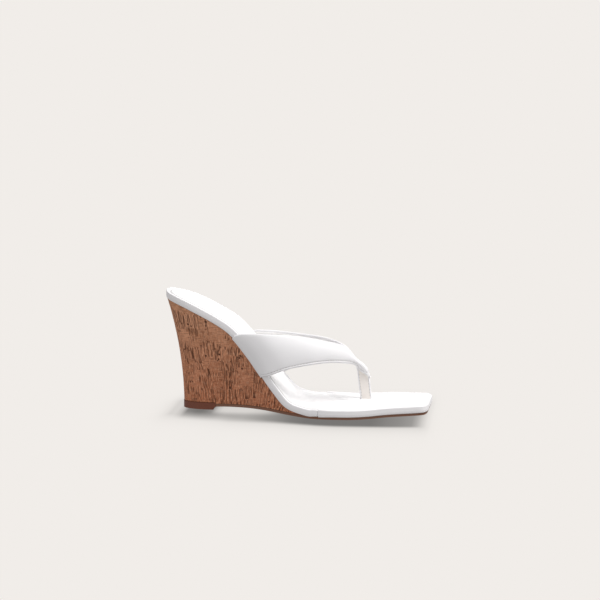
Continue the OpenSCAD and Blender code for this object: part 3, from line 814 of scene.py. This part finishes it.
# The strap's edges, as (x, y, z) from the footbed to the hem.
UPPER_KNOTS = {
    LATERAL: [(55.6, -30.6, 65.9), (84, -21.8, 63.3), (103.7, -11.4, 58.2), (117.8, 0.6, 52.6),
              (127.5, 1, 42.8), (135.5, 0.8, 36), (139.4, 0.1, 26.8)],
    MEDIAL: [(58, 26, 60.1), (82, 20.5, 58.9), (103.5, 13, 57), (117.8, 5.4, 52.7),
             (127.5, 5, 42.5), (135.5, 5.2, 35.8), (139.4, 5.9, 26.6)],
}
LOWER_KNOTS = {
    LATERAL: [(75.2, -33, 37.8), (94.5, -26, 40.8), (108, -16.5, 40.9), (118.5, -7.5, 39.2),
              (125, -2, 37.3), (127.3, 0, 35.6), (128.3, 0.1, 33.6)],
    MEDIAL: [(80.5, 29, 34.5), (97, 23.5, 38.5), (109, 17, 40), (118.5, 11.5, 39.2),
             (125, 7.6, 37.2), (127.3, 6, 35.6), (128.3, 5.9, 33.6)],
}
STRAP_BOW = 2.2
STRAP_T = 2.88
# Share of that thickness left where the tail starts to turn up, where the turn ends, at the
# footbed's top edge and at the hem.
TURN_THIN, ROOT_THIN, EDGE_THIN, HEM_THIN = 0.29, 0.5, 0.75, 0.42
STITCH_FROM_EDGE = 2.1
GROOVE_DEPTH = 0.42
# The hem's sewn line: distance from the hem, depth of its groove and of the thread in it.
HEM_STITCH, HEM_GROOVE, HEM_THREAD = 2.3, 0.45, 0.4
# Rows of points ahead of the strap itself: how far in under the footbed, then distance out and
# height where they turn up round its edge, then the share of its side that they have climbed.
TAIL_ROWS = (9.0, 6.0, 3.5, 1.6)
TURN_ROWS = [(0.55, -0.8), (1.05, -0.72), (1.4, -0.35), (1.5, 0.2)]
SIDE_ROWS = (0.2, 0.45, 0.7, 0.88)
# How the bend over the footbed's top edge is rounded: rows it reaches, share and number of passes.
BEND_ROWS, BEND_SHARE, BEND_PASSES = 4.5, 0.6, 14
# Half the width of the nose that the two upper edges make over the toe post, and of the gap in it.
NOSE_HALF = 1.0
NOSE_GAP = 0.12
# Half the room for the toe post between the straps, and the height of the post's top.
POST_ROOM = 1.4
POST_TOP = 36.5


def strap_edge(side, foot_x, knots):
    x = foot_x * LEN
    foot = (x, edge_y(side, x) + side * (STRAP_T * EDGE_THIN + GAP), bed_z(x, BED_T))
    return smooth([foot] + [(a * LEN, b * WID, c) for a, b, c in knots], 24)


class Strap:
    """One side of the V strap. Rows run from its tail under the footbed to the hem over the toe
    post; across it, distances run in millimetres from the upper edge to the lower one."""

    def __init__(self, side):
        self.side = side
        upper = strap_edge(side, WING_TOPS[side][0], UPPER_KNOTS[side])
        lower = strap_edge(side, WING_TOPS[side][1], LOWER_KNOTS[side])
        # Rows lie closer together near the hem.
        share = np.concatenate([np.linspace(0, 0.86, 56), np.linspace(0.872, 1, 26)])
        at = share * (len(upper) - 1)
        self.upper = rows_at(at, np.arange(len(upper)), upper)
        self.lower = rows_at(at, np.arange(len(lower)), lower)
        along = unit(np.gradient(self.upper, axis=0) + np.gradient(self.lower, axis=0))
        self.out = -side * unit(np.cross(self.lower - self.upper, along))
        self.bow = STRAP_BOW * np.sin(math.pi * share)
        self.share = share
        self.width = np.linalg.norm(self.lower - self.upper, axis=1)
        middle = (self.upper + self.lower) / 2
        self.to_hem = length_along(middle[::-1])[::-1]
        self.thin = np.where(
            share < 0.1,
            mix(EDGE_THIN, 1, share / 0.1),
            mix(1, HEM_THIN, np.maximum(0, share - 0.5) / 0.5),
        )

    def outside(self, across):
        """Outer surface at distances across, one list of them to each row."""
        v = (across / self.width[:, None])[..., None]
        flat = mix(self.upper[:, None], self.lower[:, None], v)
        return flat + self.out[:, None] * (self.bow[:, None, None] * 4 * v * (1 - v))

    def normals(self, across):
        """Directions square to the outer surface. They turn sideways in the first two rows, to
        follow the footbed's side."""
        p = self.outside(across)
        along = np.gradient(p, axis=0)
        over = self.outside(across + 0.2) - self.outside(across - 0.2)
        n = -self.side * unit(np.cross(over, along))
        n[0] = (0, self.side, 0)
        n[1] = unit(n[1] + n[0])
        return n

    def surface(self, across, depth):
        """Points at depths under the outer surface, with the rows down the footbed's side and the
        tail under it added in front."""
        body = self.outside(across) - self.normals(across) * (depth * self.thin[:, None])[..., None]
        v = across[0] / self.width[0]
        depth = depth[0]
        root_x = mix(*WING_ROOTS[self.side], v) * LEN
        top_x = mix(*WING_TOPS[self.side], v) * LEN
        rows = []
        for inwards in TAIL_ROWS:
            rows.append(self.beside_bed(root_x, -inwards, depth * TAIL_T / STRAP_T - TAIL_T))
        for turn, (outwards, height) in enumerate(TURN_ROWS, 1):
            angle = math.radians(90 - turn * 20)
            inwards = mix(TURN_THIN, ROOT_THIN, turn / len(TURN_ROWS)) * depth
            outwards = outwards - inwards * math.cos(angle)
            rows.append(self.beside_bed(root_x, outwards, height + inwards * math.sin(angle)))
        for climb in SIDE_ROWS:
            outwards = (STRAP_T - depth) * mix(ROOT_THIN, EDGE_THIN, climb) + GAP
            height = mix(TURN_ROWS[-1][1], BED_T, climb)
            rows.append(self.beside_bed(mix(root_x, top_x, climb), outwards, height))
        grid = np.concatenate([np.array(rows), body])
        self.ease_bend(grid, len(rows))
        self.close_over_post(grid, across[0])
        return grid

    def beside_bed(self, x, outwards, height):
        """Points at x, a distance outwards from the footbed's edge, at a height on it."""
        return np.stack([x, edge_y(self.side, x) + self.side * outwards, bed_z(x, height)], axis=1)

    def ease_bend(self, grid, bend):
        """Rounds the bend where the strap leaves the side of the footbed."""
        row = np.arange(1, len(grid) - 1)
        share = BEND_SHARE * bump_at(row, bend, BEND_ROWS)[:, None, None]
        for _ in range(BEND_PASSES):
            grid[1:-1] = mix(grid[1:-1], (grid[:-2] + grid[2:]) / 2, share)

    def close_over_post(self, grid, across):
        """Keeps the strap on its own side of the toe post, and draws its upper edge in over the
        post's top and front until it meets the other strap."""
        x, y, z = np.moveaxis(grid, -1, 0)
        to_middle = self.side * (self.upper[:, 1] - POST_Y) - NOSE_HALF
        drawn = np.zeros(len(grid))
        drawn[-len(self.upper):] = np.maximum(to_middle, 0) * step(112, 126, self.upper[:, 0])
        y = y - self.side * drawn[:, None] * step(3.4, -0.4, across)
        beyond = np.maximum(x - post_edge(POST_FRONT, z), z - POST_TOP)
        beside = step(0.0, -1.6, beyond) * step(124, 128, x)
        limit = POST_Y + self.side * (NOSE_GAP + POST_ROOM * beside)
        grid[..., 1] = np.minimum(y, limit) if self.side == LATERAL else np.maximum(y, limit)


# Outer leather: thickness, also at its turned-in lips, and how far its middle is padded out.
OUTER_T = 0.8
LIP_T = 0.35
PLUMP = 0.34
# Lining: thickness at distances in from the strap's edges, and how deep in the strap it starts.
LINING_EDGE = [(1.45, 0.02), (1.5, 0.22), (1.75, 0.4)]
LINING_FLAT_FROM, LINING_T = 2.2, 0.42
LINING_DEPTH = 2.22


def section_path(width):
    """Outside of the outer leather across a strap, from its turned-in upper lip to the lower one, as
    distance across and depth. Padded in the middle, with a stitched groove along the lower edge."""
    w = width
    groove = w - STITCH_FROM_EDGE
    upper = [(3.4, 2.2), (1.1, 2.25), (0.1, 1.95), (-0.45, 1.2), (-0.2, 0.4), (0.8, -0.08)]
    plump = [
        (mix(0.8, groove - 1.1, t), -PLUMP * math.sin(math.pi * (0.12 + 0.80 * t)))
        for t in (0.2, 0.42, 0.64, 0.82)
    ]
    lower = [
        (groove - 0.9, 0.0), (groove - 0.35, 0.22), (groove, GROOVE_DEPTH), (groove + 0.35, 0.2),
        (groove + 0.8, -0.02), (w - 0.75, 0.06), (w - 0.25, 0.45),
        (w - 0.02, 1.15), (w - 0.4, 1.9), (w - 1.3, 2.2), (w - 3.4, 2.2),
    ]
    return smooth(upper + plump + lower, 3)


def outer_paths(strap):
    """Section of the outer leather at each row: its outside and its inside."""
    outside = np.array([section_path(w) for w in strap.width])
    share = np.linspace(0, 1, outside.shape[1])
    t = mix(LIP_T, OUTER_T, step(0.03, 0.16, share) * step(0.97, 0.84, share))
    return outside, np.array([raised(path, t) for path in outside])


def lining_section(width):
    """Distances across the lining of a strap, and its thickness at each of them."""
    inset, thickness = np.transpose(LINING_EDGE)
    flat = np.linspace(LINING_FLAT_FROM, width - LINING_FLAT_FROM, 16)
    across = np.concatenate([inset, flat, width - inset[::-1]])
    return across, np.concatenate([thickness, np.full(16, LINING_T), thickness[::-1]])


def hem_relief(strap):
    """Extra depth of each row: a groove for the sewn line by the hem, and a slight swell past it."""
    groove = HEM_GROOVE * bump_at(strap.to_hem, HEM_STITCH, 0.45)
    return groove - 0.1 * bump_at(strap.to_hem, 1.0, 0.7)


def build_strap(side, name):
    strap = Strap(side)
    relief = hem_relief(strap)[:, None]
    faces = [strap.surface(path[..., 0], path[..., 1] + relief) for path in outer_paths(strap)]
    outer = make_shell(f"strap_outer_{name}_leather", *faces)
    place(outer, strap_leather, [f"strap_outer_{name}"])

    sections = np.array([lining_section(w) for w in strap.width])
    across, thickness = sections[:, 0], sections[:, 1]
    faces = [strap.surface(across, LINING_DEPTH + t) for t in (thickness, 0 * thickness)]
    lining = make_shell(f"strap_lining_{name}_leather", *faces)
    place(lining, lining_leather, [f"strap_lining_{name}"])
    return strap


# --- Stitches ---

THREAD_R = 0.24
THREAD_SIDES, THREAD_RINGS = 6, 7
STITCH_L = 1.75
STITCH_PITCH = 2.45
# Height of a stitch's middle over the leather, and how far its ends drop from there.
STITCH_RISE, STITCH_DROP = 0.13, 0.42


def thread_faces(base):
    """Faces of one thread, whose rings of points start at number base."""
    last = base + (THREAD_RINGS - 1) * THREAD_SIDES
    start, end = (list(range(first, first + THREAD_SIDES)) for first in (base, last))
    return grid_faces(THREAD_RINGS, THREAD_SIDES, base, ring=True) + [start[::-1], end]


def stitch_meshes(lines):
    """One mesh of short arched threads laid on lines of (points, normals)."""
    verts, faces = [], []
    t = np.linspace(0, 1, THREAD_RINGS)
    lift = STITCH_RISE - STITCH_DROP * np.abs(2 * t - 1) ** 3
    radius = THREAD_R * (0.55 + 0.45 * np.sin(math.pi * np.clip(t, 0.08, 0.92)) ** 0.4)
    for points, normals in lines:
        s = length_along(points)
        for start in np.arange(0.4, s[-1] - STITCH_L, STITCH_PITCH):
            centre = resample(points, start + STITCH_L * t)
            up = unit(rows_at(start + STITCH_L * t, s, normals))
            across = np.cross(unit(np.gradient(centre, axis=0)), up)
            faces += thread_faces(len(verts))
            for k in range(THREAD_RINGS):
                for a in np.arange(THREAD_SIDES) * 2 * math.pi / THREAD_SIDES:
                    ring = across[k] * math.cos(a) + up[k] * math.sin(a)
                    verts.append(centre[k] + up[k] * lift[k] + ring * radius[k])
    return verts, faces


def strap_stitch_line(strap):
    """Sewn line in the groove along a strap's lower edge."""
    groove = np.repeat((strap.width - STITCH_FROM_EDGE)[:, None], 2, axis=1)
    depth = GROOVE_DEPTH + hem_relief(strap)[:, None] + np.zeros((1, 2))
    points = strap.surface(groove, depth)[-len(strap.width):]
    keep = (strap.share > 0.02) & (strap.to_hem > HEM_STITCH + 0.5)
    return points[keep, 0], strap.normals(groove)[keep, 0]


def hem_stitch_line(strap):
    """Sewn line across a strap, just above its hem."""
    row = np.argmin(np.abs(strap.to_hem - HEM_STITCH)) - len(strap.width)
    across = np.outer(strap.width, np.linspace(0.10, 0.86, 20))
    points = strap.surface(across, np.full_like(across, HEM_THREAD))[row]
    return points, strap.normals(across)[row]


# --- Toe post ---

POST_REAR = [(131.6, 1), (131.2, 8), (129.6, 20), (128.2, 33.8), (128, 36)]
POST_FRONT = [(131.5, 35.8), (135, 33), (137.3, 29.8), (138.7, 26), (139.6, 18), (140.6, 9), (141, 1)]
# Width of the post's sewn rim, and the distance from its edges at which its marks reach 1.
POST_RIM = 1.35
POST_MARKS = 5
# Half of the post's greatest thickness, and how far from its middle plane the sewn lines lie.
POST_HALF_T = 1.47
POST_SEWN = 1.2
# Between which heights it is sewn, at the rear and at the front.
POST_SEWN_FROM, POST_SEWN_TO = 10, (32, 27)


def post_edge(knots, z):
    curve = smooth([(x * LEN, y + SOLE_T - 1) for x, y in knots], 8)
    order = np.argsort(curve[:, 1])
    return np.interp(z, curve[order, 1], curve[order, 0])


def post_section(width):
    """Half of the post's section: distance from its rear edge, and half thickness there."""
    near = [(0, 0), (0.08, 0.62), (0.35, 1.12), (0.8, 1.42), (POST_RIM, POST_SEWN), (1.9, 1.36)]
    far = [(width - a, b) for a, b in near[::-1]]
    return smooth(near + [(width / 2, POST_HALF_T)] + far, 4)


def build_post():
    z = np.linspace(3.2, 35.5, 60)
    rear, front = post_edge(POST_REAR, z), post_edge(POST_FRONT, z)
    section = np.array([post_section(w) for w in front - rear])
    along, half = section[..., 0], np.maximum(section[..., 1], 0)
    x = rear[:, None] + along
    z_grid = np.broadcast_to(z[:, None], x.shape)
    faces = [np.dstack([x, POST_Y + side * half, z_grid]) for side in (LATERAL, MEDIAL)]
    from_edge = np.minimum(along, (front - rear)[:, None] - along)
    post = make_shell("toe_post_leather", *faces, values=from_edge / POST_MARKS)
    material = leather("post_leather", CREAM, roughness=0.55, rim=POST_RIM / POST_MARKS)
    place(post, material, ["toe_post_cover"])
    lines = []
    for side in (LATERAL, MEDIAL):
        for edge, top in zip((rear + POST_RIM, front - POST_RIM), POST_SEWN_TO):
            points = np.stack([edge, np.full_like(z, POST_Y + side * POST_SEWN), z], axis=1)
            keep = (z > POST_SEWN_FROM) & (z < top)
            lines.append((points[keep], np.tile([0.0, side, 0.0], (keep.sum(), 1))))
    return lines


# --- Assembly ---

build_edge_wraps()
build_sock()
build_cork()
straps = [build_strap(LATERAL, "lateral"), build_strap(MEDIAL, "medial")]
post_lines = build_post()

thread_material = thread("thread", (0.62, 0.60, 0.58))
strap_lines = [line(strap) for strap in straps for line in (strap_stitch_line, hem_stitch_line)]
strap_threads = make_mesh("strap_threads", *stitch_meshes(strap_lines))
place(strap_threads, thread_material, ["strap_stitching"])
post_threads = make_mesh("toe_post_threads", *stitch_meshes(post_lines))
place(post_threads, thread_material, ["toe_post_stitching"])

outsole_rubber = rubber("outsole_rubber", (0.175, 0.076, 0.042), scuff=(0.28, 0.14, 0.09))
lift_rubber = rubber("lift_rubber", (0.125, 0.032, 0.015), scuff=(0.28, 0.10, 0.055))
wedge_plastic = fibrous("wedge_plastic", (0.69, 0.58, 0.39), 120, contrast=0.15, roughness=0.5)
fastener_steel = metal("fastener_steel", (0.55, 0.55, 0.57), 0.35)
finish_cad(["outsole"], outsole_rubber, soften_mm=0.3)
finish_cad(["top_piece"], lift_rubber, soften_mm=0.3)
finish_cad(["wedge_core"], wedge_plastic)
finish_cad(["insole_board", "shank_board"], fibrous("board", (0.5, 0.4, 0.25)))
finish_cad(["bottom_filler"], fibrous("filler", (0.45, 0.34, 0.2), 250))
foam = fibrous("foam", (0.85, 0.83, 0.65), 700, contrast=0.2)
finish_cad(["footbed_foam", "strap_padding_lateral", "strap_padding_medial"], foam)
finish_cad(["steel_shank"], metal("steel", (0.5, 0.5, 0.52), 0.3))
finish_cad(["shank_rivets"], metal("rivet_brass", (0.7, 0.5, 0.2), 0.3))
finish_cad(["heel_nails", "heel_screw", "top_piece_nails"], fastener_steel)
finish_cad(["strap_tape_lateral", "strap_tape_medial"], woven("tape", (0.75, 0.75, 0.72)))
finish_cad(["toe_post_core", "toe_post_anchor"], woven("webbing", (0.88, 0.88, 0.86)))


# --- Studio ---

# Linear tones of the paper and of the room's upper and lower half.
BACKGROUND = tuple(((c / 255 + 0.055) / 1.055) ** 2.4 for c in (241, 237, 233))
DOME_ABOVE = (0.61, 0.61, 0.62)
DOME_BELOW = (0.54, 0.53, 0.52)
KEY_STRENGTH = 2.95
KEY_COLOUR = (1, 0.99, 0.975)
KEY_FROM = (0.45, -0.10, 1.0)
KEY_SPREAD = math.radians(45)

# Camera: its direction from the sandal round to the toe and up, the slope at which it looks down,
# its distance from its target in metres, its lens in mm and its sideways shift.
AZIMUTH = math.radians(6.4)
ELEVATION = math.radians(10.02)
LOOKS_DOWN = math.radians(8.547)
DISTANCE = 1.6
TARGET = Vector((0.0815 * LEN, 0, 0.048))
LENS = 117.8
SHIFT = 1 / 1200

# Where the soft shade under the sandal ends on the near side, as x and y.
SHADE_EDGE = [
    (-30, -30), (-9, -36), (2, -39), (12, -42), (23, -46.5), (33, -51), (53, -54), (66, -56),
    (82, -60.2), (102, -65), (115, -66.2), (130, -66), (158, -64.7), (200, -60),
]
# How much of the light is left in it, and how gently it fades out at that edge, along x.
SHADE_LIGHT = [
    (-24, 1), (-17, 0.87), (-12, 0.62), (-8, 0.27), (2, 0.2), (12, 0.3), (22, 0.5), (40, 0.5),
    (50, 0.44), (60, 0.36), (70, 0.3), (80, 0.24), (92, 0.21), (145, 0.22), (157, 0.28),
    (166, 0.31), (176, 0.38), (181, 0.55), (186, 0.84), (191, 1),
]
SHADE_BLUR = [(-20, 20), (10, 20), (25, 15), (40, 12), (70, 8), (100, 5.5), (180, 5)]
# Outside its edge, a fainter tail: the share of light it takes at most, and its length.
SHADE_TAIL, SHADE_TAIL_LENGTH = 0.22, 16
# Light that comes in under the arch.
ARCH_LIGHT = 0.3
FLOOR_GAP = 0.05


def floor_shade(x, y):
    """Share of the light that reaches the floor round the sandal."""
    blur = read_off(x, SHADE_BLUR)
    left = read_off(x, SHADE_LIGHT)
    left = left + ARCH_LIGHT * step(-36, -14, y) * step(10, 18, x) * step(74, 54, x)
    in_front = read_off(x, SHADE_EDGE) - y
    behind = y - edge_y(MEDIAL, x) - 2
    inside = step(blur, -blur, in_front) * step(12, -8, behind)
    beyond_ends = np.maximum(np.maximum(3 * (-20 - x), 6 * (x - 186)), 0)
    outside = np.hypot(np.maximum(np.maximum(in_front, behind), 0), beyond_ends)
    tail = SHADE_TAIL * np.exp(-outside / SHADE_TAIL_LENGTH)
    return mix(1 - tail, np.minimum(left, 1 - tail), inside)


def build_floor():
    """Pale floor with the soft shade of the sandal laid on it. It shows its own tone to the camera,
    and nothing from below, so that the underside can be looked at."""
    far = [-40000, -8000, -2000, -600]
    x_lines = np.concatenate([far, np.arange(-160, 361, 4), [800, 2000, 8000, 40000]])
    y_lines = np.concatenate([far, np.arange(-240, 161, 3), [600, 2000, 8000, 40000]])
    x, y = (grid.ravel() for grid in np.meshgrid(x_lines, y_lines, indexing="ij"))
    near = (np.abs(x - 80) < 400) & (np.abs(y) < 400)
    light = np.where(near, floor_shade(x, y), 1)
    verts = np.stack([x, y, np.full(len(x), -FLOOR_GAP)], axis=1)
    floor = make_mesh("floor", verts, grid_faces(len(x_lines), len(y_lines)), values=light)
    if floor.data.polygons[0].normal.z < 0:
        floor.data.flip_normals()
    s = Shader("floor_paper")
    shade = s.node("ShaderNodeEmission", Color=s.blend(s.marks(), (0, 0, 0), BACKGROUND)).outputs[0]
    clear = s.node("ShaderNodeBsdfTransparent").outputs[0]
    from_below = s.node("ShaderNodeNewGeometry").outputs["Backfacing"]
    both = s.node("ShaderNodeMixShader", _0=from_below, _1=shade, _2=clear).outputs[0]
    s.feed(s.tree.nodes["Material Output"], "Surface", both)
    floor.data.materials.append(s.material)
    for rays in ("diffuse", "glossy", "transmission", "shadow"):
        setattr(floor, "visible_" + rays, False)


def put_in_scene(name, data, turn):
    """Object for a lamp or camera, turned by a quaternion."""
    obj = bpy.data.objects.new(name, data)
    obj.rotation_mode = "QUATERNION"
    obj.rotation_quaternion = turn
    bpy.context.scene.collection.objects.link(obj)
    return obj


def build_lights():
    """Bright room all round, a little darker below, and one broad key light from above the toe."""
    world = bpy.data.worlds.new("studio")
    world.use_nodes = True
    bpy.context.scene.world = world
    s = Tree(world.node_tree)
    direction = s.node("ShaderNodeTexCoord").outputs["Generated"]
    up = s.node("ShaderNodeSeparateXYZ", _0=direction).outputs["Z"]
    dome = s.blend(s.span(up, -0.3, 0.3), DOME_BELOW, DOME_ABOVE)
    seen = s.node("ShaderNodeLightPath").outputs["Is Camera Ray"]
    s.feed(s.tree.nodes["Background"], "Color", s.blend(seen, dome, BACKGROUND))
    lamp = bpy.data.lights.new("key", "SUN")
    lamp.energy = KEY_STRENGTH
    lamp.angle = KEY_SPREAD
    lamp.color = KEY_COLOUR
    put_in_scene("key", lamp, Vector(KEY_FROM).to_track_quat("Z", "Y"))


def towards(azimuth, elevation):
    """Direction from the sandal's near side, round to the toe and up by two angles."""
    flat = math.cos(elevation)
    return Vector((math.sin(azimuth) * flat, -math.cos(azimuth) * flat, math.sin(elevation)))


def build_camera():
    """Camera of the photograph: nearly side on, a little above the sandal and round to the toe."""
    lens = bpy.data.cameras.new("camera")
    lens.lens = LENS
    lens.sensor_width = 36
    lens.shift_x = SHIFT
    lens.clip_end = 200
    camera = put_in_scene("camera", lens, towards(AZIMUTH, LOOKS_DOWN).to_track_quat("Z", "Y"))
    camera.location = TARGET + towards(AZIMUTH, ELEVATION) * DISTANCE
    bpy.context.scene.camera = camera


build_floor()
build_lights()
build_camera()
bpy.context.scene.view_settings.view_transform = "Standard"
